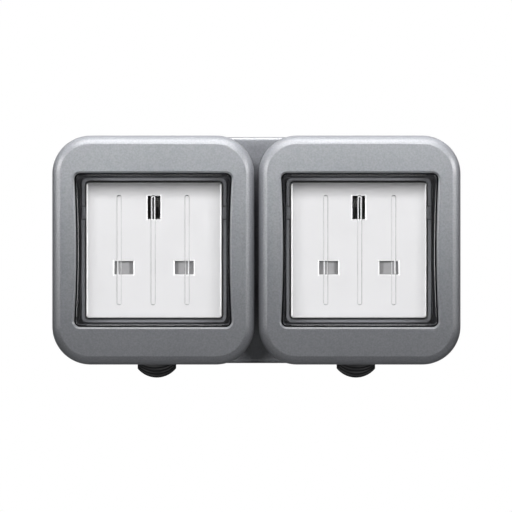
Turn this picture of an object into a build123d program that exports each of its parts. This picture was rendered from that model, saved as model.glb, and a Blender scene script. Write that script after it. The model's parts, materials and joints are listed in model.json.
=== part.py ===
from build123d import *
import os

# Outdoor weatherproof socket outlet with two gangs, fixed to a wall.
# Millimetres. As seen from the front, X runs to the right and Z up, and the front faces -Y.
# The origin is the middle of the back face, on the wall. A depth is a distance in front of the wall.

# Lids, which set the size of the whole
LID_WIDTH = 73.8
LID_HEIGHT = 83.7
LID_CORNER = 14.0
LID_DEPTH = 21.4
LID_WALL = 2.2
LID_PANEL = 3.0
LID_INNER_ROUND = 2.0
LID_GAP = 1.6
LID_REST_GAP = 0.6
EDGE_RADIUS = 6.0
EDGE_CREASE = 0.7
CREASE_ROUND = 0.5

# Waisted opening of the lid, and the clear window behind it
OPENING_WIDTH = 57.7
OPENING_WAIST = 56.0
OPENING_HEIGHT = 56.2
OPENING_CORNER = 2.2
OPENING_CHAMFER = 0.65
WINDOW_RECESS = 1.8
WINDOW_EDGE_GAP = 0.7
WINDOW_EDGE_CHAMFER = 0.3
WINDOW_LAP = 2.15
WINDOW_FLANGE = 1.8
WINDOW_PANE = 2.0
WINDOW_SIDE = 1.2
WINDOW_FIT = 0.2
WINDOW_GASKET = 1.2
GASKET_FIT = 0.05
GROOVE_COUNT = 3
GROOVE_PITCH = 12.4
GROOVE_LENGTH = 40.2
GROOVE_WIDTH = 1.7
GROOVE_DEPTH = 0.38

# Skirt round the window, its clips and the seal on its back edge
SKIRT_WALL = 1.6
SKIRT_CORNER = 2.5
CLIP_HEIGHT = 5.2
CLIP_REACH = 0.9
CLIP_DEPTH = 1.4
CLIP_GAP = 0.1
CLIP_Z = 13.8
SEAL_THICK = 1.7
SEAL_LIP = 0.3
SEAL_GAP = 0.3

# Hinge along the top back edge of each lid
KNUCKLE_RADIUS = 3.0
BARREL_END = 0.9
PIN_RADIUS = 1.25
PIN_RUNNING = 0.05
PIN_SEAT = 0.02
PIN_END = 0.5
EAR_SPREAD = 26.0
EAR_WIDTH = 5.0
EAR_GAP = 0.4

# Wall box, its gasket and the front plate
LID_OVERHANG = 0.2
BOX_DEPTH = 27.0
BOX_WALL = 2.5
BOX_CORNER = 13.5
BOX_BACK_ROUND = 0.8
GASKET_THICK = 1.2
GASKET_WIDTH = 1.6
GASKET_INSET = 0.4
PLATE_DEPTH = 8.8
PLATE_WALL = 2.5
PLATE_ROUND = 1.5
COLLAR_HEIGHT = 5.5
COLLAR_WALL = 1.4
COLLAR_CORNER = 0.8
COLLAR_CHAMFER = 0.45
NOTCH_DEPTH = 1.5

# Screws of the front plate, and holes for fixing the box to a wall
SCREW_INSET_X = 9.2
SCREW_INSET_Z = 6.35
SCREW_RADIUS = 1.75
SCREW_HEAD_RADIUS = 2.9
SCREW_HEAD = 2.0
SCREW_SINK = 0.6
SCREW_REACH = 15.0
SCREW_TIP_GAP = 2.0
SCREW_FIT = 0.05
SCREW_HEAD_FIT = 0.2
SCREW_SLOT = 0.8
BOSS_WALL = 1.85
BOSS_GAP = 0.2
FIXING_SPACING_X = 115.0
FIXING_SPACING_Z = 60.0
FIXING_RADIUS = 2.25
FIXING_PAD = 2.25
FIXING_PAD_HEIGHT = 1.5

# Socket module: white face and rear moulding
FACE_WIDTH = 49.7
FACE_HEIGHT = 7.0
FACE_WALL = 2.0
FACE_FRONT_WALL = 2.4
FACE_CORNER = 0.8
FACE_CHAMFER = 0.5
FACE_GAP = 0.4
REAR_FIT = 0.15
REAR_DEPTH = 16.6
REAR_RISE = 1.6
REAR_CORNER = 1.5
PLATE_HOLE_FIT = 0.3
HOOK_HEIGHT = 10.0
HOOK_REACH = 1.2
HOOK_DEPTH = 2.0
HOOK_GAP = 0.1
MODULE_SCREW_X = 19.0
MODULE_SCREW_Z = -18.0
MODULE_SCREW_RADIUS = 1.1
MODULE_SCREW_HEAD_RADIUS = 2.0
MODULE_SCREW_HEAD = 1.6
MODULE_SCREW_TIP = 0.7
MODULE_BOSS_WALL = 1.2

# Pin pattern, with the earth hole above the live and neutral holes
PIN_SPREAD = 22.2
PIN_RISE = 22.2
PIN_CENTRE_Z = 4.6
POLE_HOLE_WIDTH = 7.0
POLE_HOLE_HEIGHT = 4.9
EARTH_HOLE_WIDTH = 4.7
EARTH_HOLE_HEIGHT = 8.6
HOLE_CHAMFER = 0.4

# Shutter, its guides and its bowed return spring
SHUTTER_THICK = 2.2
SHUTTER_GAP = 0.4
SHUTTER_LAP = 1.0
SHUTTER_TRAVEL = 6.0
SHUTTER_ARM = 5.2
SHUTTER_NOSE = 2.4
RAMP_RISE = 5.6
RAMP_RUN = 7.0
RAMP_START = 3.0
RAMP_TIP = 2.0
RAMP_HEIGHT = 5.2
GUIDE_WALL = 1.4
GUIDE_GAP = 0.3
SPRING_SPAN = 26.0
SPRING_STRIP = 0.4
SPRING_SIDE_GAP = 0.2
SPRING_SEAT_GAP = 0.1

# Contacts and their terminals
TERMINAL_SIZE = 8.4
TERMINAL_DEPTH = 9.5
TERMINAL_FIT = 0.15
TERMINAL_SEAT = 2.5
TERMINAL_WIRE_RADIUS = 1.6
TERMINAL_WIRE_INSET = 4.2
TERMINAL_SCREW_RADIUS = 1.4
TERMINAL_HEAD_RADIUS = 2.3
TERMINAL_HEAD = 1.5
TERMINAL_SCREW_STAND = 0.6
LEAF_THICK = 0.6
LEAF_ROOT = 2.1
LEAF_NECK = 1.75
LEAF_MOUTH = 2.4
LEAF_STRAIGHT = 2.0
LEAF_TAPER = 5.5
LEAF_FLARE = 3.5
EARTH_LEAF_WIDTH = 7.0
POLE_LEAF_WIDTH = 6.0
CHAMBER_GAP = 0.4

# Ribbed rubber boot of each cable entry, under the wall box
BOOT_RIBS = 4
BOOT_RIB = 4.6
BOOT_GROOVE = 1.2
BOOT_GROOVE_SINK = 0.7
BOOT_GROOVE_RISE = 0.35
BOOT_BACK = 3.0
BOOT_FRONT_HALF = 6.4
BOOT_REAR_HALF = 7.25
BOOT_FRONT_SIDE = 0.6
BOOT_REAR_SIDE = 2.95
BOOT_FRONT_DROP = 2.35
BOOT_REAR_DROP = 6.35
BOOT_RIB_CHAMFER = 0.4
BOOT_NECK_WIDTH = 9.0
BOOT_NECK_LENGTH = 17.0
BOOT_NECK_FIT = 0.1
BOOT_FLANGE = 1.5
BOOT_FLANGE_LAP = 1.2

# Sizes that follow from those above
GANG_PITCH = LID_WIDTH + LID_GAP
GANGS = {"left": -GANG_PITCH / 2, "right": GANG_PITCH / 2}
BOX_WIDTH = GANG_PITCH + LID_WIDTH - 2 * LID_OVERHANG
BOX_HEIGHT = LID_HEIGHT
BOX_BOTTOM = -BOX_HEIGHT / 2
GASKET_FRONT = BOX_DEPTH + GASKET_THICK
PLATE_FRONT = GASKET_FRONT + PLATE_DEPTH
PLATE_INNER = PLATE_FRONT - PLATE_WALL
COLLAR_FRONT = PLATE_FRONT + COLLAR_HEIGHT
COLLAR_INSIDE = FACE_WIDTH + 2 * FACE_GAP
COLLAR_OUTSIDE = COLLAR_INSIDE + 2 * COLLAR_WALL
FACE_FRONT = PLATE_FRONT + FACE_HEIGHT
FACE_INNER = FACE_FRONT - FACE_FRONT_WALL
FACE_CAVITY = FACE_WIDTH - 2 * FACE_WALL
REAR_WIDTH = FACE_CAVITY - 2 * REAR_FIT
REAR_FRONT = PLATE_FRONT + REAR_RISE
REAR_BACK = REAR_FRONT - REAR_DEPTH
LID_BACK = PLATE_FRONT + LID_REST_GAP
LID_FRONT = LID_BACK + LID_DEPTH
PANEL_BACK = LID_FRONT - LID_PANEL
FLANGE_FRONT = PANEL_BACK - WINDOW_GASKET
FLANGE_BACK = FLANGE_FRONT - WINDOW_FLANGE
WINDOW_FRONT = LID_FRONT - WINDOW_RECESS
PANE_BACK = WINDOW_FRONT - WINDOW_PANE
FLANGE_WIDTH = OPENING_WIDTH + 2 * WINDOW_LAP
FLANGE_HEIGHT = OPENING_HEIGHT + 2 * WINDOW_LAP
SEAL_BACK = PLATE_FRONT + SEAL_GAP
SEAL_FRONT = SEAL_BACK + SEAL_THICK
HINGE_DEPTH = LID_BACK + KNUCKLE_RADIUS
HINGE_Z = LID_HEIGHT / 2 - KNUCKLE_RADIUS
BARREL_LENGTH = LID_WIDTH - 2 * LID_CORNER - 2 * BARREL_END
EAR_RADIUS = KNUCKLE_RADIUS - EAR_GAP
EARTH_Z = PIN_CENTRE_Z + PIN_RISE / 2
POLE_Z = PIN_CENTRE_Z - PIN_RISE / 2
POLE_X = PIN_SPREAD / 2
SHUTTER_FRONT = FACE_INNER - SHUTTER_GAP
SHUTTER_BACK = SHUTTER_FRONT - SHUTTER_THICK
SHUTTER_HALF_HEIGHT = POLE_HOLE_HEIGHT / 2 + SHUTTER_LAP
SHUTTER_HALF_WIDTH = POLE_X + POLE_HOLE_WIDTH / 2 + SHUTTER_LAP
SHUTTER_BOTTOM = POLE_Z - SHUTTER_HALF_HEIGHT
SHUTTER_ARM_TOP = EARTH_Z - EARTH_HOLE_HEIGHT / 2 - SHUTTER_LAP
SEAT_BACK = REAR_BACK + TERMINAL_SEAT
CHAMBER = 2 * (LEAF_MOUTH + LEAF_THICK + CHAMBER_GAP)
TERMINAL_BACK = SEAT_BACK - TERMINAL_DEPTH
WIRE_DEPTH = TERMINAL_BACK + TERMINAL_WIRE_INSET
SCREW_X = BOX_WIDTH / 2 - SCREW_INSET_X
SCREW_Z = BOX_HEIGHT / 2 - SCREW_INSET_Z
SCREW_PLACES = [(x, z) for x in (-SCREW_X, SCREW_X) for z in (-SCREW_Z, SCREW_Z)]
SCREW_SEAT = PLATE_FRONT - SCREW_SINK - SCREW_HEAD
BOSS_RADIUS = SCREW_RADIUS + BOSS_WALL
MODULE_SCREW_PLACES = [(x, MODULE_SCREW_Z) for x in (-MODULE_SCREW_X, MODULE_SCREW_X)]


def slab(outline, back, front):
    """A front-view sketch (X, Z) made solid between two depths."""
    return extrude(Plane.XZ.offset(back) * outline, amount=front - back)


def side_slab(outline, left, right):
    """A side-view sketch (Y, Z) made solid between two x places."""
    return extrude(Plane.YZ.offset(left) * outline, amount=right - left)


def rod(radius, x, z, back, front):
    """A round bar that points out of the wall."""
    return slab(Pos(x, z) * Circle(radius), back, front)


def block(x_span, depth_span, z_span):
    """A box between two limits each way."""
    middle = Pos(sum(x_span) / 2, sum(z_span) / 2)
    return slab(middle * Rectangle(x_span[1] - x_span[0], z_span[1] - z_span[0]), *depth_span)


def at_hinge():
    """The place of the hinge axis in a side-view sketch."""
    return Pos(-HINGE_DEPTH, HINGE_Z)


def axle(radius, left, right):
    """A round bar along the hinge axis."""
    return side_slab(at_hinge() * Circle(radius), left, right)


def tongue(radius, reach):
    """A side-view sketch with a round lower end at the hinge axis, which reaches upwards from there."""
    bow = ThreePointArc((-radius, 0), (0, -radius), (radius, 0))
    rest = Polyline((radius, 0), (radius, reach), (-radius, reach), (-radius, 0))
    return make_face([bow, rest])


def front_face(solid):
    """The foremost flat face of a solid."""
    return solid.faces().sort_by(Axis.Y)[0]


def waisted(inset):
    """The outline of the lid's opening, drawn in by a constant inset."""
    half_width = OPENING_WIDTH / 2 - inset
    half_waist = OPENING_WAIST / 2 - inset
    half_height = OPENING_HEIGHT / 2 - inset
    right = ThreePointArc((half_width, half_height), (half_waist, 0), (half_width, -half_height))
    left = ThreePointArc((-half_width, -half_height), (-half_waist, 0), (-half_width, half_height))
    bottom = Line(right @ 1, left @ 0)
    top = Line(left @ 1, right @ 0)
    outline = make_face([right, bottom, left, top])
    return fillet(outline.vertices(), OPENING_CORNER - inset)


def skirt_outline(spread):
    """The outline of the window flange, spread outwards by a constant amount."""
    width = FLANGE_WIDTH + 2 * spread
    height = FLANGE_HEIGHT + 2 * spread
    return RectangleRounded(width, height, SKIRT_CORNER + spread)


def seal_outside():
    """The outer outline of the lid's seal, a lip wider than the skirt that it sits on."""
    return skirt_outline(WINDOW_FIT + SKIRT_WALL + SEAL_LIP)


def lid_shell():
    """The lid as a hollow cap whose round edge ends in a crease at the flat front."""
    outline = RectangleRounded(LID_WIDTH, LID_HEIGHT, LID_CORNER)
    cap = slab(outline, LID_BACK, LID_FRONT + EDGE_CREASE)
    cap = fillet(front_face(cap).edges(), EDGE_RADIUS)
    cap -= slab(outline, LID_FRONT, LID_FRONT + EDGE_CREASE)
    cap = fillet(front_face(cap).edges(), CREASE_ROUND)
    inside = RectangleRounded(LID_WIDTH - 2 * LID_WALL, LID_HEIGHT - 2 * LID_WALL, LID_CORNER - LID_WALL)
    hollow = slab(inside, LID_BACK, PANEL_BACK)
    hollow = fillet(front_face(hollow).edges(), LID_INNER_ROUND)
    return cap - hollow


def lid_skirt():
    """The skirt behind the front panel, with the clips that hold the window in it."""
    skirt = slab(skirt_outline(WINDOW_FIT + SKIRT_WALL), SEAL_FRONT, PANEL_BACK)
    skirt -= slab(skirt_outline(WINDOW_FIT), SEAL_FRONT, PANEL_BACK)
    wall = FLANGE_WIDTH / 2 + WINDOW_FIT
    clip_front = FLANGE_BACK - CLIP_GAP
    for side in (-1, 1):
        for level in (-CLIP_Z, CLIP_Z):
            reach = sorted((side * (wall - CLIP_REACH), side * (wall + SKIRT_WALL / 2)))
            height = (level - CLIP_HEIGHT / 2, level + CLIP_HEIGHT / 2)
            skirt += block(reach, (clip_front - CLIP_DEPTH, clip_front), height)
    return skirt


def hinge_slots():
    """Slots in the lid that let it swing past the ears of the front plate."""
    room = KNUCKLE_RADIUS + 2 * EAR_GAP
    slots = Part()
    for place in (-EAR_SPREAD / 2, EAR_SPREAD / 2):
        width = (place - EAR_WIDTH / 2 - EAR_GAP, place + EAR_WIDTH / 2 + EAR_GAP)
        depth = (LID_BACK - room, HINGE_DEPTH + room)
        slots += block(width, depth, (HINGE_Z - room, HINGE_Z + 2 * room))
    return slots


def lid_knuckle():
    """The bar along the lid's top back edge that holds the hinge pin."""
    profile = at_hinge() * tongue(KNUCKLE_RADIUS, KNUCKLE_RADIUS - LID_WALL / 2)
    return side_slab(profile, -BARREL_LENGTH / 2, BARREL_LENGTH / 2)


def swing_room():
    """What the lid would strike the front plate with as it swings: its edge behind and above the axis."""
    half = LID_WIDTH / 2
    depth = (LID_BACK - KNUCKLE_RADIUS, HINGE_DEPTH)
    return block((-half, half), depth, (HINGE_Z, HINGE_Z + 2 * KNUCKLE_RADIUS)) - axle(KNUCKLE_RADIUS, -half, half)


def lid_frame():
    """The lid moulding: a shell with room for window and seal, a skirt and a hinge knuckle."""
    lid = lid_shell() - slab(seal_outside(), LID_BACK, SEAL_FRONT)
    lid -= slab(skirt_outline(WINDOW_FIT), SEAL_FRONT, PANEL_BACK)
    lid += lid_skirt() + lid_knuckle()
    lid -= slab(waisted(0), PANEL_BACK, LID_FRONT)
    lid = chamfer(front_face(lid).inner_wires()[0].edges(), OPENING_CHAMFER)
    lid -= hinge_slots()
    lid -= axle(PIN_RADIUS + PIN_RUNNING, -BARREL_LENGTH / 2, BARREL_LENGTH / 2)
    return lid - swing_room()


def groove():
    """A round-bottomed stroke, longer than wide, that is sunk into the back of the window's pane."""
    half = GROOVE_WIDTH / 2
    radius = (half ** 2 + GROOVE_DEPTH ** 2) / (2 * GROOVE_DEPTH)
    centre_depth = PANE_BACK + GROOVE_DEPTH - radius
    reach = GROOVE_LENGTH / 2 - half
    stroke = Pos(0, -centre_depth, 0) * Cylinder(radius, 2 * reach)
    for end in (-reach, reach):
        stroke += Pos(0, -centre_depth, end) * Sphere(radius)
    return stroke


def lid_window():
    """The clear window: a flange, and a hollow pane that stands up into the opening."""
    pane = slab(waisted(WINDOW_EDGE_GAP), FLANGE_FRONT, WINDOW_FRONT)
    pane = chamfer(front_face(pane).edges(), WINDOW_EDGE_CHAMFER)
    window = pane + slab(skirt_outline(0), FLANGE_BACK, FLANGE_FRONT)
    window -= slab(waisted(WINDOW_EDGE_GAP + WINDOW_SIDE), FLANGE_BACK, PANE_BACK)
    first = -(GROOVE_COUNT - 1) / 2 * GROOVE_PITCH
    for index in range(GROOVE_COUNT):
        window -= Pos(first + index * GROOVE_PITCH, 0, 0) * groove()
    return window


def window_gasket():
    """The seal between the window's flange and the lid's front panel."""
    inside = waisted(WINDOW_EDGE_GAP - GASKET_FIT)
    return slab(skirt_outline(0) - inside, FLANGE_FRONT, PANEL_BACK)


def lid_seal():
    """The seal on the back edge of the skirt, just clear of the front plate."""
    return slab(seal_outside() - skirt_outline(WINDOW_FIT - SEAL_LIP), SEAL_BACK, SEAL_FRONT)


def hinge_pin():
    """The pin of one lid."""
    half = BARREL_LENGTH / 2 - PIN_END
    return axle(PIN_RADIUS, -half, half)


def box_outline(inset):
    """The outline of the wall box and front plate, drawn in by a constant inset."""
    return RectangleRounded(BOX_WIDTH - 2 * inset, BOX_HEIGHT - 2 * inset, BOX_CORNER - inset)


def boot_slot(spread, low, high):
    """The long round-ended neck of a cable boot, spread outwards, between two heights."""
    depth = BOOT_BACK + boot_length() / 2
    outline = SlotOverall(BOOT_NECK_LENGTH + 2 * spread, BOOT_NECK_WIDTH + 2 * spread, rotation=90)
    return extrude(Plane.XY.offset(low) * Pos(0, -depth) * outline, amount=high - low)


def back_box():
    """The wall box: an open tray with screw bosses, fixing holes and cable entries."""
    box = slab(box_outline(0), 0, BOX_DEPTH)
    box = fillet(box.faces().sort_by(Axis.Y)[-1].edges(), BOX_BACK_ROUND)
    inside = box_outline(BOX_WALL)
    box -= slab(inside, BOX_WALL, BOX_DEPTH)
    for x, z in SCREW_PLACES:
        boss = rod(BOSS_RADIUS, x, z, BOX_WALL, BOX_DEPTH) & slab(inside, BOX_WALL, BOX_DEPTH)
        box += boss
        box -= rod(SCREW_RADIUS + SCREW_FIT, x, z, BOX_DEPTH - SCREW_REACH, BOX_DEPTH)
    pad_front = BOX_WALL + FIXING_PAD_HEIGHT
    for x in (-FIXING_SPACING_X / 2, FIXING_SPACING_X / 2):
        for z in (-FIXING_SPACING_Z / 2, FIXING_SPACING_Z / 2):
            box += rod(FIXING_RADIUS + FIXING_PAD, x, z, BOX_WALL, pad_front)
            box -= rod(FIXING_RADIUS, x, z, 0, pad_front)
    for place in GANGS.values():
        box -= Pos(place, 0, 0) * boot_slot(BOOT_NECK_FIT, BOX_BOTTOM, BOX_BOTTOM + BOX_WALL)
    return box


def box_gasket():
    """The seal between wall box and front plate, a little inside their outline."""
    return slab(box_outline(GASKET_INSET) - box_outline(GASKET_INSET + GASKET_WIDTH), BOX_DEPTH, GASKET_FRONT)


def collar():
    """The square collar round one socket face, chamfered inside and notched at both sides."""
    outside = RectangleRounded(COLLAR_OUTSIDE, COLLAR_OUTSIDE, COLLAR_CORNER + COLLAR_WALL)
    inside = RectangleRounded(COLLAR_INSIDE, COLLAR_INSIDE, COLLAR_CORNER)
    ring = slab(outside - inside, PLATE_FRONT, COLLAR_FRONT)
    ring = chamfer(front_face(ring).inner_wires()[0].edges(), COLLAR_CHAMFER)
    height = (CLIP_Z - CLIP_HEIGHT / 2, CLIP_Z + CLIP_HEIGHT / 2)
    across = (-COLLAR_OUTSIDE / 2, COLLAR_OUTSIDE / 2)
    return ring - block(across, (COLLAR_FRONT - NOTCH_DEPTH, COLLAR_FRONT), height)


def hinge_ear():
    """One ear of the front plate, rounded about the hinge axis."""
    reach = HINGE_DEPTH - PLATE_FRONT + PLATE_WALL / 2
    return side_slab(at_hinge() * Rot(0, 0, -90) * tongue(EAR_RADIUS, reach), -EAR_WIDTH / 2, EAR_WIDTH / 2)


def front_plate():
    """The front plate: a shallow cover with a collar, a hole and hinge ears for each gang."""
    plate = slab(box_outline(0), GASKET_FRONT, PLATE_FRONT)
    plate = fillet(front_face(plate).edges(), PLATE_ROUND)
    inside = box_outline(BOX_WALL)
    plate -= slab(inside, GASKET_FRONT, PLATE_INNER)
    for x, z in SCREW_PLACES:
        plate += rod(BOSS_RADIUS, x, z, BOX_DEPTH + BOSS_GAP, PLATE_INNER) & slab(inside, BOX_DEPTH, PLATE_INNER)
        plate -= rod(SCREW_RADIUS + SCREW_FIT, x, z, BOX_DEPTH, PLATE_FRONT)
        plate -= rod(SCREW_HEAD_RADIUS + SCREW_HEAD_FIT, x, z, SCREW_SEAT, PLATE_FRONT)
    hole = REAR_WIDTH + 2 * PLATE_HOLE_FIT
    for place in GANGS.values():
        plate += Pos(place, 0, 0) * collar()
        plate -= Pos(place, 0, 0) * slab(RectangleRounded(hole, hole, REAR_CORNER), PLATE_INNER, PLATE_FRONT)
        for ear in (-EAR_SPREAD / 2, EAR_SPREAD / 2):
            plate += Pos(place + ear, 0, 0) * hinge_ear()
        plate -= Pos(place, 0, 0) * axle(PIN_RADIUS + PIN_SEAT, -BARREL_LENGTH / 2, BARREL_LENGTH / 2)
    return plate


def slotted_screw(x, z, head_radius, head_back, head_front, radius, tip):
    """A screw with a slotted round head; it points into the wall if its tip lies behind its head."""
    screw = rod(head_radius, x, z, head_back, head_front)
    slot_face = head_front if tip < head_back else head_back
    screw -= block((x - head_radius, x + head_radius), (slot_face - SCREW_SLOT / 2, slot_face + SCREW_SLOT / 2),
                   (z - SCREW_SLOT / 2, z + SCREW_SLOT / 2))
    shank = sorted((tip, head_back if tip < head_back else head_front))
    return screw + rod(radius, x, z, *shank)


def plate_screws():
    """The screws that draw the front plate onto the wall box."""
    screws = Part()
    tip = BOX_DEPTH - SCREW_REACH + SCREW_TIP_GAP
    for x, z in SCREW_PLACES:
        screws += slotted_screw(x, z, SCREW_HEAD_RADIUS, SCREW_SEAT, SCREW_SEAT + SCREW_HEAD, SCREW_RADIUS, tip)
    return screws


def module_screws():
    """The screws that join each rear moulding to its face, put in from behind."""
    screws = Part()
    tip = FACE_INNER - MODULE_SCREW_TIP
    for place in GANGS.values():
        for x, z in MODULE_SCREW_PLACES:
            screws += slotted_screw(place + x, z, MODULE_SCREW_HEAD_RADIUS, REAR_BACK - MODULE_SCREW_HEAD,
                                    REAR_BACK, MODULE_SCREW_RADIUS, tip)
    return screws


def pin_holes():
    """The three pin holes through the front wall of the face."""
    holes = slab(Pos(0, EARTH_Z) * Rectangle(EARTH_HOLE_WIDTH, EARTH_HOLE_HEIGHT), FACE_INNER, FACE_FRONT)
    for x in (-POLE_X, POLE_X):
        holes += slab(Pos(x, POLE_Z) * Rectangle(POLE_HOLE_WIDTH, POLE_HOLE_HEIGHT), FACE_INNER, FACE_FRONT)
    return holes


def socket_face():
    """The white face: a shallow cap with chamfered pin holes, shutter guides and screw bosses."""
    face = slab(RectangleRounded(FACE_WIDTH, FACE_WIDTH, FACE_CORNER), PLATE_FRONT, FACE_FRONT)
    face = chamfer(front_face(face).edges(), FACE_CHAMFER)
    face -= slab(RectangleRounded(FACE_CAVITY, FACE_CAVITY, REAR_CORNER), PLATE_FRONT, FACE_INNER)
    face -= pin_holes()
    for wire in front_face(face).inner_wires():
        face = chamfer(face.edges().filter_by(lambda edge, loop=wire: on_loop(edge, loop)), HOLE_CHAMFER)
    guide = SHUTTER_HALF_WIDTH + GUIDE_GAP
    guide_bottom = SHUTTER_BOTTOM - SHUTTER_TRAVEL
    for side in (-1, 1):
        span = sorted((side * guide, side * (guide + GUIDE_WALL)))
        face += block(span, (SHUTTER_BACK, FACE_INNER), (guide_bottom, POLE_Z + SHUTTER_HALF_HEIGHT))
    for x, z in MODULE_SCREW_PLACES:
        boss = MODULE_SCREW_RADIUS + MODULE_BOSS_WALL
        face += rod(boss, x, z, REAR_FRONT + REAR_FIT, FACE_INNER)
        face -= rod(MODULE_SCREW_RADIUS + SCREW_FIT, x, z, REAR_FRONT, FACE_INNER)
    return face


def on_loop(edge, loop):
    """Whether an edge is one of a loop's own edges."""
    return any(edge.is_same(other) for other in loop.edges())


def socket_rear():
    """The rear moulding: chambers for the contacts, seats for the terminals and snap hooks."""
    rear = slab(RectangleRounded(REAR_WIDTH, REAR_WIDTH, REAR_CORNER), REAR_BACK, REAR_FRONT)
    seat = TERMINAL_SIZE + 2 * TERMINAL_FIT
    for x, z in ((-POLE_X, POLE_Z), (POLE_X, POLE_Z), (0, EARTH_Z)):
        rear -= slab(Pos(x, z) * Rectangle(seat, seat), REAR_BACK, SEAT_BACK)
        rear -= slab(Pos(x, z) * Rectangle(CHAMBER, CHAMBER), SEAT_BACK, REAR_FRONT)
    well_bottom = SHUTTER_ARM_TOP - RAMP_HEIGHT - SHUTTER_TRAVEL - SHUTTER_GAP
    well_top = EARTH_Z + EARTH_LEAF_WIDTH / 2 + CHAMBER_GAP
    rear -= block((-CHAMBER / 2, CHAMBER / 2), (SEAT_BACK, REAR_FRONT), (well_bottom, well_top))
    hook_front = PLATE_INNER - HOOK_GAP
    half = REAR_WIDTH / 2
    for side in (-1, 1):
        reach = sorted((side * (half - HOOK_REACH), side * (half + HOOK_REACH)))
        rear += block(reach, (hook_front - HOOK_DEPTH, hook_front), (-HOOK_HEIGHT / 2, HOOK_HEIGHT / 2))
    for x, z in MODULE_SCREW_PLACES:
        rear -= rod(MODULE_SCREW_RADIUS + REAR_FIT, x, z, REAR_BACK, REAR_FRONT)
    return rear


def shutter():
    """The shutter: a bar over the live and neutral holes, and an arm with a ramp in the earth well."""
    depth = (SHUTTER_BACK, SHUTTER_FRONT)
    bar_top = POLE_Z + SHUTTER_HALF_HEIGHT
    bar = block((-SHUTTER_HALF_WIDTH, SHUTTER_HALF_WIDTH), depth, (SHUTTER_BOTTOM, bar_top))
    arm = block((-SHUTTER_ARM / 2, SHUTTER_ARM / 2), depth, (bar_top, SHUTTER_ARM_TOP))
    low = SHUTTER_ARM_TOP - RAMP_HEIGHT
    ramp_foot = SHUTTER_BACK - RAMP_START
    ramp_head = ramp_foot - RAMP_RUN
    ramp_back = ramp_head - RAMP_TIP
    side = [
        (-SHUTTER_FRONT, low),
        (-SHUTTER_FRONT, SHUTTER_ARM_TOP),
        (-ramp_foot, SHUTTER_ARM_TOP),
        (-ramp_head, SHUTTER_ARM_TOP + RAMP_RISE),
        (-ramp_back, SHUTTER_ARM_TOP + RAMP_RISE),
        (-ramp_back, SHUTTER_ARM_TOP),
        (-ramp_foot, low),
    ]
    nose = side_slab(make_face(Polyline(*side, close=True)), -SHUTTER_NOSE / 2, SHUTTER_NOSE / 2)
    return bar + arm + nose


def shutter_spring():
    """A strip of spring steel, bowed up under the shutter from the face's lower wall."""
    seat = -FACE_CAVITY / 2 + SPRING_SEAT_GAP
    crown = SHUTTER_BOTTOM - SPRING_SEAT_GAP
    half = SPRING_SPAN / 2
    outer = ThreePointArc((-half, seat), (0, crown), (half, seat))
    inner = ThreePointArc((half - SPRING_STRIP, seat), (0, crown - SPRING_STRIP), (SPRING_STRIP - half, seat))
    ends = [Line(outer @ 1, inner @ 0), Line(inner @ 1, outer @ 0)]
    depth = (SHUTTER_BACK + SPRING_SIDE_GAP, SHUTTER_FRONT - SPRING_SIDE_GAP)
    return slab(make_face([outer, inner] + ends), *depth)


def leaf_pair(width):
    """Two sprung leaves that grip a pin between them, left and right of it."""
    front = SEAT_BACK
    stations = [
        (LEAF_ROOT, front),
        (LEAF_ROOT, front + LEAF_STRAIGHT),
        (LEAF_NECK, front + LEAF_STRAIGHT + LEAF_TAPER),
        (LEAF_MOUTH, front + LEAF_STRAIGHT + LEAF_TAPER + LEAF_FLARE),
    ]
    inner = [(x, -depth) for x, depth in stations]
    outer = [(x + LEAF_THICK, -depth) for x, depth in reversed(stations)]
    leaf = make_face(Polyline(*inner, *outer, close=True))
    right = extrude(Plane.XY.offset(-width / 2) * leaf, amount=width)
    return right + mirror(right, about=Plane.YZ)


def terminal():
    """The terminal block at the back of a contact, with its wire hole and screw hole."""
    cube = slab(Rectangle(TERMINAL_SIZE, TERMINAL_SIZE), TERMINAL_BACK, SEAT_BACK)
    wire = extrude(Plane.XY.offset(-TERMINAL_SIZE / 2) * Pos(0, -WIRE_DEPTH) * Circle(TERMINAL_WIRE_RADIUS),
                   amount=TERMINAL_SIZE)
    return cube - wire - rod(TERMINAL_SCREW_RADIUS + SCREW_FIT, 0, 0, TERMINAL_BACK, WIRE_DEPTH)


def earth_contact():
    """The earth contact, whose leaves stand left and right of the pin."""
    return Pos(0, 0, EARTH_Z) * (terminal() + leaf_pair(EARTH_LEAF_WIDTH))


def pole_contact(x):
    """The live or neutral contact, whose leaves stand above and below the pin."""
    return Pos(x, 0, POLE_Z) * (terminal() + Rot(0, 90, 0) * leaf_pair(POLE_LEAF_WIDTH))


def terminal_screws():
    """The clamping screws of one gang's terminals."""
    screws = Part()
    head_front = TERMINAL_BACK - TERMINAL_SCREW_STAND
    tip = WIRE_DEPTH - TERMINAL_WIRE_RADIUS
    for x, z in ((-POLE_X, POLE_Z), (POLE_X, POLE_Z), (0, EARTH_Z)):
        screws += slotted_screw(x, z, TERMINAL_HEAD_RADIUS, head_front - TERMINAL_HEAD, head_front,
                                TERMINAL_SCREW_RADIUS, tip)
    return screws


def boot_length():
    """The length of a cable boot's ribbed part, from back to front."""
    return BOOT_RIBS * BOOT_RIB + (BOOT_RIBS - 1) * BOOT_GROOVE


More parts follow.
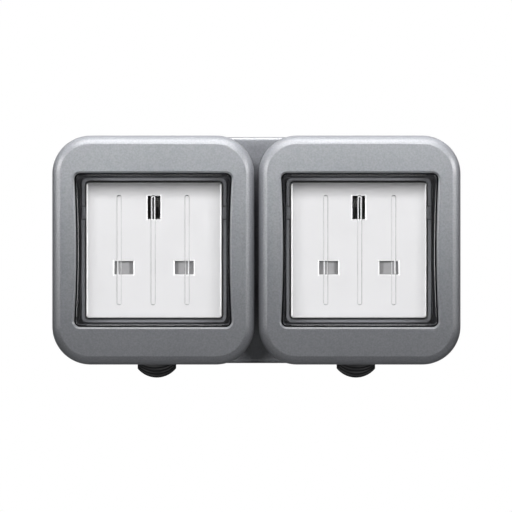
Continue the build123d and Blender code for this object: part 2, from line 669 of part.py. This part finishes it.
def boot_section(share, sink, rise):
    """A boot's section under the box, from its rear (share 0) to its front (share 1), drawn in by a sink.

    The lower ends of its straight sides are drawn up by a rise.
    """
    half = BOOT_REAR_HALF + share * (BOOT_FRONT_HALF - BOOT_REAR_HALF) - sink
    side = BOX_BOTTOM - BOOT_REAR_SIDE - share * (BOOT_FRONT_SIDE - BOOT_REAR_SIDE) + rise
    low = BOX_BOTTOM - BOOT_REAR_DROP - share * (BOOT_FRONT_DROP - BOOT_REAR_DROP) + sink
    bow = ThreePointArc((-half, side), (0, low), (half, side))
    rest = Polyline((half, side), (half, BOX_BOTTOM), (-half, BOX_BOTTOM), (-half, side))
    return make_face([bow, rest])


def cable_boot():
    """The ribbed rubber boot, whose neck and flange hold it in the wall box."""
    boot = boot_slot(0, BOX_BOTTOM, BOX_BOTTOM + BOX_WALL)
    boot += boot_slot(BOOT_FLANGE_LAP, BOX_BOTTOM + BOX_WALL, BOX_BOTTOM + BOX_WALL + BOOT_FLANGE)
    for index in range(BOOT_RIBS):
        share = index / (BOOT_RIBS - 1)
        back = BOOT_BACK + index * (BOOT_RIB + BOOT_GROOVE)
        rib = slab(boot_section(share, 0, 0), back, back + BOOT_RIB)
        rib = chamfer(front_face(rib).edges().sort_by(Axis.Z)[:-1], BOOT_RIB_CHAMFER)
        boot += rib
        if index:
            waist = boot_section(share, BOOT_GROOVE_SINK, BOOT_GROOVE_RISE)
            boot += slab(waist, back - BOOT_GROOVE, back)
    return boot


SHARED_NODES = {
    "back_box": back_box(),
    "box_gasket": box_gasket(),
    "front_plate": front_plate(),
    "plate_screws": plate_screws(),
    "module_screws": module_screws(),
}
GANG_NODES = {
    "lid_frame": lid_frame(),
    "lid_window": lid_window(),
    "window_gasket": window_gasket(),
    "lid_seal": lid_seal(),
    "hinge_pin": hinge_pin(),
    "socket_face": socket_face(),
    "socket_rear": socket_rear(),
    "shutter": shutter(),
    "shutter_spring": shutter_spring(),
    "earth_contact": earth_contact(),
    "live_contact": pole_contact(POLE_X),
    "neutral_contact": pole_contact(-POLE_X),
    "terminal_screws": terminal_screws(),
    "cable_boot": cable_boot(),
}

os.makedirs("parts", exist_ok=True)
for name, solid in SHARED_NODES.items():
    export_step(solid, f"parts/{name}.step")
for name, solid in GANG_NODES.items():
    for side, place in GANGS.items():
        export_step(Pos(place, 0, 0) * solid, f"parts/{name}_{side}.step")
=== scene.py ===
import json
import math

import bpy
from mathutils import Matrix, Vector

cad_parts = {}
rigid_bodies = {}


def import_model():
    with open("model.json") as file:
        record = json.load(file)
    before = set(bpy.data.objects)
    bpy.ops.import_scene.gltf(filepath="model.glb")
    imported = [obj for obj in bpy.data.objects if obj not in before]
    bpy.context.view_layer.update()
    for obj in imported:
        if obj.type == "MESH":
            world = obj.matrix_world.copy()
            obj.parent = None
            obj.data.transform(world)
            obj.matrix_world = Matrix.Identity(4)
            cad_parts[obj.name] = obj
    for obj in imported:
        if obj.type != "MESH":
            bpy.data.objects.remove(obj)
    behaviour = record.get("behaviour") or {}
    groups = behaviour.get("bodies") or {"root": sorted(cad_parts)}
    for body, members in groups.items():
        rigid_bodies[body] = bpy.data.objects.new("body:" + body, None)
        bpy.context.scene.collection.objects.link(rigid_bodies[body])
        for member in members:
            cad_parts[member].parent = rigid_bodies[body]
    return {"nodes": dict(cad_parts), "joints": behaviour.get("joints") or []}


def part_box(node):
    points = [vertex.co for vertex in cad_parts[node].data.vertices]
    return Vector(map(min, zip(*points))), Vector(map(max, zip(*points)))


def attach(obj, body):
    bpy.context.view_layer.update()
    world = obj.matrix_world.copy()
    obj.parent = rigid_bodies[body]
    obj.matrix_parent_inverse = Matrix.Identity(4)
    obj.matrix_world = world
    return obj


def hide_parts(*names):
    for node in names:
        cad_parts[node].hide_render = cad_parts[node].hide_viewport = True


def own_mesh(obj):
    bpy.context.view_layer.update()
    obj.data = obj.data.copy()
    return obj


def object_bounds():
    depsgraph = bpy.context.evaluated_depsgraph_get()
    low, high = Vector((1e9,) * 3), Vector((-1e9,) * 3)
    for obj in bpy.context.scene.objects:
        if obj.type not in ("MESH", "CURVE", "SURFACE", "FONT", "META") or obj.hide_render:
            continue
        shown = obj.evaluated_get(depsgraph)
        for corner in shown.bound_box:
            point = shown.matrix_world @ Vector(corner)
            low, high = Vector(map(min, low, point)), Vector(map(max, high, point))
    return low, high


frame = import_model()
CAD_LOW, CAD_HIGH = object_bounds()

# Metres, in the frame of the solids: +X to the right as seen from the front, the front faces -Y, +Z up.
LID_LOW, LID_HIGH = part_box("lid_frame_left")
FRONT_Y = LID_LOW.y
LID_MIDDLE_Z = (LID_LOW.z + LID_HIGH.z) / 2

# Camera
MILLIMETRES_PER_METRE = 1000
SENSOR = 0.036
PICTURE = 512
PIXELS_PER_METRE = 2747.0
OBJECT_PIXEL = (256.4, 250.05)
CAMERA_DISTANCE = 1.3

# Stage: the floor, and the surround's light by the height of a direction, from -1 to 1
FLOOR_DROP = 0.2
FLOOR_RADIUS = 2.0
FLOOR_SIDES = 96
FLOOR_GREY = 0.9
FLOOR_ROUGHNESS = 0.8
SKY_LOW, SKY_HIGH = -0.6, 0.8
SKY_DARK, SKY_LIGHT = 0.02, 0.13
SKY_SEEN = 1.0

# Materials
PLASTIC_IOR = 1.5
WINDOW_IOR = 1.49
BEVEL_SAMPLES = 6
# Painted shade in tight corners: how far the ambient occlusion looks, the AO values between which the shade
# fades out, and the grey it darkens to
CORNER_SHADE_REACH = 0.001
CORNER_SHADE_SHUT, CORNER_SHADE_OPEN = 0.55, 0.8
CORNER_SHADE_GREY = 0.006

# Where lamps aim
MIDDLE = (0, 0, 0)
LIDS_MIDDLE = (0, -0.05, 0)
FACES_MIDDLE = (0, -0.04, 0)
FACES_FRONT = (0, -0.044, 0)
PLATE_TOP = (0, -0.03, 0.04)
LIDS_FOOT = (0, 0, -0.04)
OVER_LIDS = (0, FRONT_Y, 0.075)
SIDES = {"left": -1, "right": 1}


class Shader:
    """A material under construction: one Principled shader and the nodes that feed it."""

    def __init__(self, name, **sockets):
        self.material = bpy.data.materials.new(name)
        self.material.use_nodes = True
        self.tree = self.material.node_tree
        self.surface = self.tree.nodes["Principled BSDF"]
        self.set(**sockets)
        self.place = self.node("ShaderNodeTexCoord").outputs["Object"]

    def node(self, kind, **inputs):
        """A new node; each input is a value, or an output socket to link from."""
        made = self.tree.nodes.new(kind)
        for name, value in inputs.items():
            self.feed(made.inputs[name.replace("_", " ")], value)
        return made

    def feed(self, socket, value):
        """Sets a socket to a value, or links it from an output socket."""
        if isinstance(value, bpy.types.NodeSocket):
            self.tree.links.new(value, socket)
        else:
            socket.default_value = value

    def set(self, **inputs):
        """Feeds sockets of the Principled shader."""
        for name, value in inputs.items():
            self.feed(self.surface.inputs[name.replace("_", " ")], value)

    def noise(self, size, detail=2.0, stretch=(1, 1, 1)):
        """Noise from 0 to 1 whose lumps are about this long, in metres."""
        place = self.node("ShaderNodeMapping", Vector=self.place, Scale=stretch).outputs["Vector"]
        made = self.node("ShaderNodeTexNoise", Vector=place, Scale=1 / size, Detail=detail)
        return made.outputs["Fac"]

    def between(self, factor, low, high, start=0.3, end=0.7):
        """A number that runs from low to high as the factor runs from start to end."""
        made = self.node(
            "ShaderNodeMapRange", Value=factor, From_Min=start, From_Max=end, To_Min=low, To_Max=high)
        return made.outputs["Result"]

    def shade(self, factor, dark, light):
        """A colour that runs from dark to light with a factor."""
        made = self.node("ShaderNodeMix")
        made.data_type = "RGBA"
        self.feed(made.inputs["Factor"], factor)
        self.feed(made.inputs["A"], dark)
        self.feed(made.inputs["B"], light)
        return made.outputs["Result"]

    def corner_shade_share(self):
        """A share from 0 in a tight corner to 1 in the open, by which shade is painted into tight corners.
        """
        corner = self.node("ShaderNodeAmbientOcclusion", Distance=CORNER_SHADE_REACH)
        return self.between(corner.outputs["AO"], low=0.0, high=1.0, start=CORNER_SHADE_SHUT, end=CORNER_SHADE_OPEN)

    def relief(self, height, depth, edge=0.0):
        """Bump from a height, over edges that look rounded to a radius."""
        bump = self.node("ShaderNodeBump", Height=height, Distance=depth, Strength=1.0)
        if edge:
            rounded = self.node("ShaderNodeBevel", Radius=edge)
            rounded.samples = BEVEL_SAMPLES
            self.feed(bump.inputs["Normal"], rounded.outputs["Normal"])
        self.set(Normal=bump.outputs["Normal"])


def rgb(red, green, blue):
    """A colour for a shader's socket."""
    return (red, green, blue, 1.0)


def grey(value):
    """A grey for a shader's socket."""
    return rgb(value, value, value)


def plastic(name):
    """A shader for a plain plastic or rubber."""
    return Shader(name, Metallic=0.0, IOR=PLASTIC_IOR)


def grey_plastic():
    """Moulded grey plastic with a fine spark-eroded grain, and painted shade that darkens its tight corners.
    """
    shader = plastic("grey_plastic")
    grain = shader.noise(size=0.0006, detail=3.0)
    patch = shader.noise(size=0.02)
    tone = shader.between(grain, low=0.0, high=1.0)
    colour = shader.shade(tone, dark=rgb(0.188, 0.1935, 0.2095), light=rgb(0.242, 0.2485, 0.2675))
    # Painted shade: the grain's colour darkens to near black in tight corners, where shade falls
    shader.set(Base_Color=shader.shade(shader.corner_shade_share(), dark=grey(CORNER_SHADE_GREY), light=colour))
    shader.set(Roughness=shader.between(patch, low=0.33, high=0.4))
    shader.relief(grain, depth=0.00002, edge=0.00015)
    return shader.material


def white_plastic():
    """Satin white plastic of the socket faces."""
    shader = plastic("white_plastic")
    patch = shader.noise(size=0.008)
    grain = shader.noise(size=0.0003)
    shader.set(Base_Color=shader.shade(patch, dark=rgb(0.836, 0.834, 0.846), light=rgb(0.866, 0.864, 0.876)))
    shader.set(Roughness=shader.between(patch, low=0.3, high=0.38))
    shader.relief(grain, depth=0.000004, edge=0.0002)
    return shader.material


def clear_plastic():
    """Clear polished window plastic, which lets lamps light what is behind it."""
    shader = Shader("clear_plastic", Metallic=0.0, IOR=WINDOW_IOR, Transmission_Weight=1.0)
    shader.set(Base_Color=rgb(0.975, 0.974, 0.975))
    ripple = shader.noise(size=0.006)
    shader.set(Roughness=shader.between(ripple, low=0.01, high=0.03))
    shader.relief(ripple, depth=0.000006)
    path = shader.node("ShaderNodeLightPath")
    film = shader.node("ShaderNodeBsdfTransparent", Color=grey(0.98))
    mix = shader.node("ShaderNodeMixShader", Fac=path.outputs["Is Shadow Ray"])
    shader.feed(mix.inputs[1], shader.surface.outputs["BSDF"])
    shader.feed(mix.inputs[2], film.outputs["BSDF"])
    shader.feed(shader.tree.nodes["Material Output"].inputs["Surface"], mix.outputs["Shader"])
    return shader.material


def rear_plastic():
    """Black moulded plastic of the rear mouldings."""
    shader = plastic("rear_plastic")
    grain = shader.noise(size=0.0005, detail=3.0)
    shader.set(Base_Color=shader.shade(grain, dark=rgb(0.016, 0.016, 0.017), light=rgb(0.03, 0.03, 0.031)))
    shader.set(Roughness=shader.between(grain, low=0.45, high=0.6))
    shader.relief(grain, depth=0.00002, edge=0.0002)
    return shader.material


def shutter_plastic():
    """Light grey moulded plastic of the shutters."""
    shader = plastic("shutter_plastic")
    grain = shader.noise(size=0.0006)
    shader.set(Base_Color=shader.shade(grain, dark=rgb(0.245, 0.245, 0.25), light=rgb(0.275, 0.275, 0.28)))
    shader.set(Roughness=shader.between(grain, low=0.4, high=0.5))
    shader.relief(grain, depth=0.00001, edge=0.0002)
    return shader.material


def black_rubber():
    """Soft black rubber with a faint bloom."""
    shader = plastic("black_rubber")
    grain = shader.noise(size=0.0004, detail=3.0)
    bloom = shader.noise(size=0.006, detail=3.0)
    colour = shader.shade(bloom, dark=rgb(0.011, 0.0115, 0.0135), light=rgb(0.021, 0.022, 0.026))
    shader.set(Base_Color=colour)
    shader.set(Roughness=shader.between(bloom, low=0.45, high=0.62))
    shader.relief(grain, depth=0.00003, edge=0.0002)
    return shader.material


def metal(name, dark, light, size, stretch):
    """A drawn or turned metal; its fine lines run along the axis that the stretch makes small, if any."""
    shader = Shader(name, Metallic=1.0)
    line = shader.noise(size=size, detail=3.0, stretch=stretch)
    shader.set(Base_Color=shader.shade(line, dark=dark, light=light))
    shader.set(Roughness=shader.between(line, low=0.22, high=0.38))
    shader.relief(line, depth=0.000008, edge=0.0001)
    return shader.material


def make_materials():
    """The materials, by the names that the solids' own materials have."""
    return {
        "grey_plastic": grey_plastic(),
        "white_plastic": white_plastic(),
        "clear_plastic": clear_plastic(),
        "rear_plastic": rear_plastic(),
        "shutter_plastic": shutter_plastic(),
        "black_rubber": black_rubber(),
        "brass": metal("brass", dark=rgb(0.6, 0.59, 0.57), light=rgb(0.78, 0.77, 0.75),
                       size=0.0004, stretch=(1, 0.1, 1)),
        "steel": metal("steel", dark=grey(0.5), light=grey(0.66), size=0.0005, stretch=(1, 1, 1)),
        "spring_steel": metal("spring_steel", dark=grey(0.42), light=grey(0.58),
                              size=0.0004, stretch=(0.1, 1, 1)),
    }


def paint_solids():
    """Gives each solid the material that has its own material's name."""
    materials = make_materials()
    for node in frame["nodes"].values():
        for place in node.material_slots:
            place.material = materials[place.material.name.split(".")[0]]


def make_spring(joint, node):
    """A copy of a spring's solid on its joint's parent body, which stands for the hidden solid."""
    spring = bpy.data.objects.new("flexing_" + node, frame["nodes"][node].data.copy())
    bpy.context.collection.objects.link(spring)
    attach(spring, joint["parent"])
    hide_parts(node)
    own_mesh(spring)


def make_springs():
    """A stand-in copy for each spring that the record says a joint deforms."""
    for joint in frame["joints"]:
        for deforming in joint.get("deforming_nodes", []):
            make_spring(joint, deforming["node"])


def make_camera():
    """The camera, level and square to the lids, with the object where it lies in the picture."""
    data = bpy.data.cameras.new("camera")
    data.sensor_width = SENSOR * MILLIMETRES_PER_METRE
    data.lens = data.sensor_width * CAMERA_DISTANCE * PIXELS_PER_METRE / PICTURE
    camera = bpy.data.objects.new("camera", data)
    across = (PICTURE / 2 - OBJECT_PIXEL[0]) / PIXELS_PER_METRE
    up = (OBJECT_PIXEL[1] - PICTURE / 2) / PIXELS_PER_METRE
    camera.location = (across, FRONT_Y - CAMERA_DISTANCE, LID_MIDDLE_Z + up)
    camera.rotation_euler = (math.pi / 2, 0, 0)
    bpy.context.collection.objects.link(camera)
    bpy.context.scene.camera = camera


def make_floor():
    """A plain pale floor below the object, which stays out of its light."""
    bpy.ops.mesh.primitive_circle_add(
        vertices=FLOOR_SIDES, radius=FLOOR_RADIUS, fill_type="NGON", location=(0, 0, CAD_LOW.z - FLOOR_DROP))
    floor = bpy.context.object
    floor.name = "floor"
    shader = Shader("floor", Base_Color=grey(FLOOR_GREY), Roughness=FLOOR_ROUGHNESS)
    floor.data.materials.append(shader.material)
    floor.visible_diffuse = False
    floor.visible_glossy = False
    floor.visible_transmission = False
    return floor


def make_world():
    """A white surround, whose light on the object is brighter above than below."""
    world = bpy.data.worlds.new("studio")
    bpy.context.scene.world = world
    world.use_nodes = True
    nodes = world.node_tree.nodes
    links = world.node_tree.links
    place = nodes.new("ShaderNodeTexCoord")
    split = nodes.new("ShaderNodeSeparateXYZ")
    links.new(place.outputs["Generated"], split.inputs["Vector"])
    slope = nodes.new("ShaderNodeMapRange")
    slope.inputs["From Min"].default_value = SKY_LOW
    slope.inputs["From Max"].default_value = SKY_HIGH
    slope.inputs["To Min"].default_value = SKY_DARK
    slope.inputs["To Max"].default_value = SKY_LIGHT
    links.new(split.outputs["Z"], slope.inputs["Value"])
    path = nodes.new("ShaderNodeLightPath")
    level = nodes.new("ShaderNodeMix")
    level.data_type = "FLOAT"
    links.new(path.outputs["Is Camera Ray"], level.inputs["Factor"])
    links.new(slope.outputs["Result"], level.inputs["A"])
    level.inputs["B"].default_value = SKY_SEEN
    background = nodes["Background"]
    background.inputs["Color"].default_value = grey(1.0)
    links.new(level.outputs["Result"], background.inputs["Strength"])


def named(*starts):
    """The solids whose names start in one of these ways."""
    return [obj for name, obj in frame["nodes"].items() if name.startswith(starts)]


def group(name, objects):
    """A new collection of objects."""
    made = bpy.data.collections.new(name)
    for obj in objects:
        made.objects.link(obj)
    return made


def make_light(name, lights, place, target, size, power, spread=180, shade=True, gloss=True, blockers=None):
    """A soft rectangular lamp that faces a target and lights some objects.

    With blockers, nothing but those casts its shadows. Without shade a lamp only shows as a reflection,
    and without gloss it shows none.
    """
    data = bpy.data.lights.new(name, "AREA")
    data.shape = "RECTANGLE"
    data.size, data.size_y = size
    data.energy = power
    data.spread = math.radians(spread)
    lamp = bpy.data.objects.new(name, data)
    lamp.location = place
    lamp.rotation_euler = (Vector(target) - Vector(place)).to_track_quat("-Z", "Y").to_euler()
    lamp.visible_camera = False
    lamp.visible_diffuse = shade
    lamp.visible_glossy = gloss
    bpy.context.collection.objects.link(lamp)
    lamp.light_linking.receiver_collection = group(name + "_lit", lights)
    if blockers:
        lamp.light_linking.blocker_collection = group(name + "_shade", blockers)


LIDS = named("lid_frame")
PLATE = named("front_plate")
BOX = named("back_box")
BOOTS = named("cable_boot")
FACES = named("socket_face")
SHUTTERS = named("shutter_left", "shutter_right")
CONTACTS = named("earth_contact", "live_contact", "neutral_contact")
# The pieces that cast the shadows of the low, boot and collar lamps; the floor and the faces cast none
SHELL = LIDS + PLATE + BOX + BOOTS


def light_lids():
    """Lids: soft light from above, gleams on round edges, a fall-off down the front and light from below."""
    make_light("overhead", LIDS + BOOTS, place=(0, -0.12, 0.5), target=LIDS_MIDDLE,
               size=(0.6, 0.25), power=4.9)
    make_light("crown", LIDS + BOOTS, place=(0, -0.12, 0.5), target=LIDS_MIDDLE,
               size=(0.5, 0.35), power=0.8, shade=False)
    make_light("graded", LIDS, place=(0, -0.6, 0.3), target=OVER_LIDS,
               size=(0.6, 0.06), power=0.34, spread=20)
    for side, sign in SIDES.items():
        make_light("side_" + side, LIDS, place=(sign * 0.6, -0.22, 0.17), target=LIDS_MIDDLE,
                   size=(0.4, 0.25), power=4.3, shade=False)
        make_light("low_" + side, LIDS, place=(sign * 0.5, -1.0, -0.6), target=MIDDLE,
                   size=(0.5, 0.2), power=3.0, blockers=SHELL)


def light_base():
    """Base: the front plate between the lids and round the faces, the wall box, and the boots."""
    make_light("base_top", PLATE, place=(0, -0.3, 0.5), target=PLATE_TOP,
               size=(0.5, 0.25), power=1.7)
    make_light("base_gleam", PLATE, place=(0, -0.12, 0.5), target=FACES_MIDDLE,
               size=(0.5, 0.2), power=1.3, spread=60, shade=False)
    make_light("base_low", PLATE, place=(0, -0.9, -0.6), target=MIDDLE,
               size=(0.5, 0.2), power=0.8, blockers=SHELL)
    make_light("boots", BOOTS, place=(0, -1.0, -0.15), target=LIDS_FOOT,
               size=(0.4, 0.1), power=1.8, blockers=SHELL)
    make_light("rear", BOX + BOOTS, place=(0.3, 1.0, 0.35), target=MIDDLE,
               size=(0.6, 0.4), power=16, gloss=False)
    for side, sign in SIDES.items():
        make_light("base_" + side, PLATE, place=(sign * 0.8, -0.8, 0.9), target=MIDDLE,
                   size=(0.6, 0.3), power=9.4)
        make_light("collar_" + side, PLATE, place=(sign * 0.56, -0.98, 0.1), target=MIDDLE,
                   size=(0.4, 0.1), power=4.8, blockers=SHELL)
        make_light("box_" + side, BOX, place=(sign * 0.8, -0.1, 0.5), target=MIDDLE,
                   size=(0.4, 0.4), power=7, gloss=False)


def light_faces():
    """Faces: broad light through the windows, gleams along the faces' edges, and light into the holes."""
    make_light("inner", FACES, place=(0, -1.05, 0.45), target=FACES_MIDDLE,
               size=(1.2, 0.42), power=17.1)
    make_light("contacts", CONTACTS, place=(0, -0.85, 0.7), target=FACES_MIDDLE,
               size=(0.3, 0.15), power=6)
    for name, height, power in (("above", 0.9, 0.6), ("below", -0.9, 2.0)):
        make_light(name, FACES, place=(0, -0.24, height), target=FACES_FRONT,
                   size=(0.5, 0.2), power=power, spread=60, shade=False, blockers=FACES)
    for side, sign in SIDES.items():
        make_light("edge_" + side, FACES, place=(sign * 0.9, -0.24, 0), target=FACES_FRONT,
                   size=(0.2, 0.5), power=3.6, spread=60, shade=False, blockers=FACES)
        make_light("shutters_" + side, SHUTTERS, place=(sign * 0.6, -1.0, 0.2), target=FACES_MIDDLE,
                   size=(0.2, 0.2), power=10.5)


paint_solids()
make_springs()
make_camera()
make_world()
make_light("floor_lamp", [make_floor()], place=(0, 0, 2.2), target=MIDDLE, size=(2, 2), power=64)
light_lids()
light_base()
light_faces()

view = bpy.context.scene.view_settings
view.view_transform = "Standard"
view.look = "None"
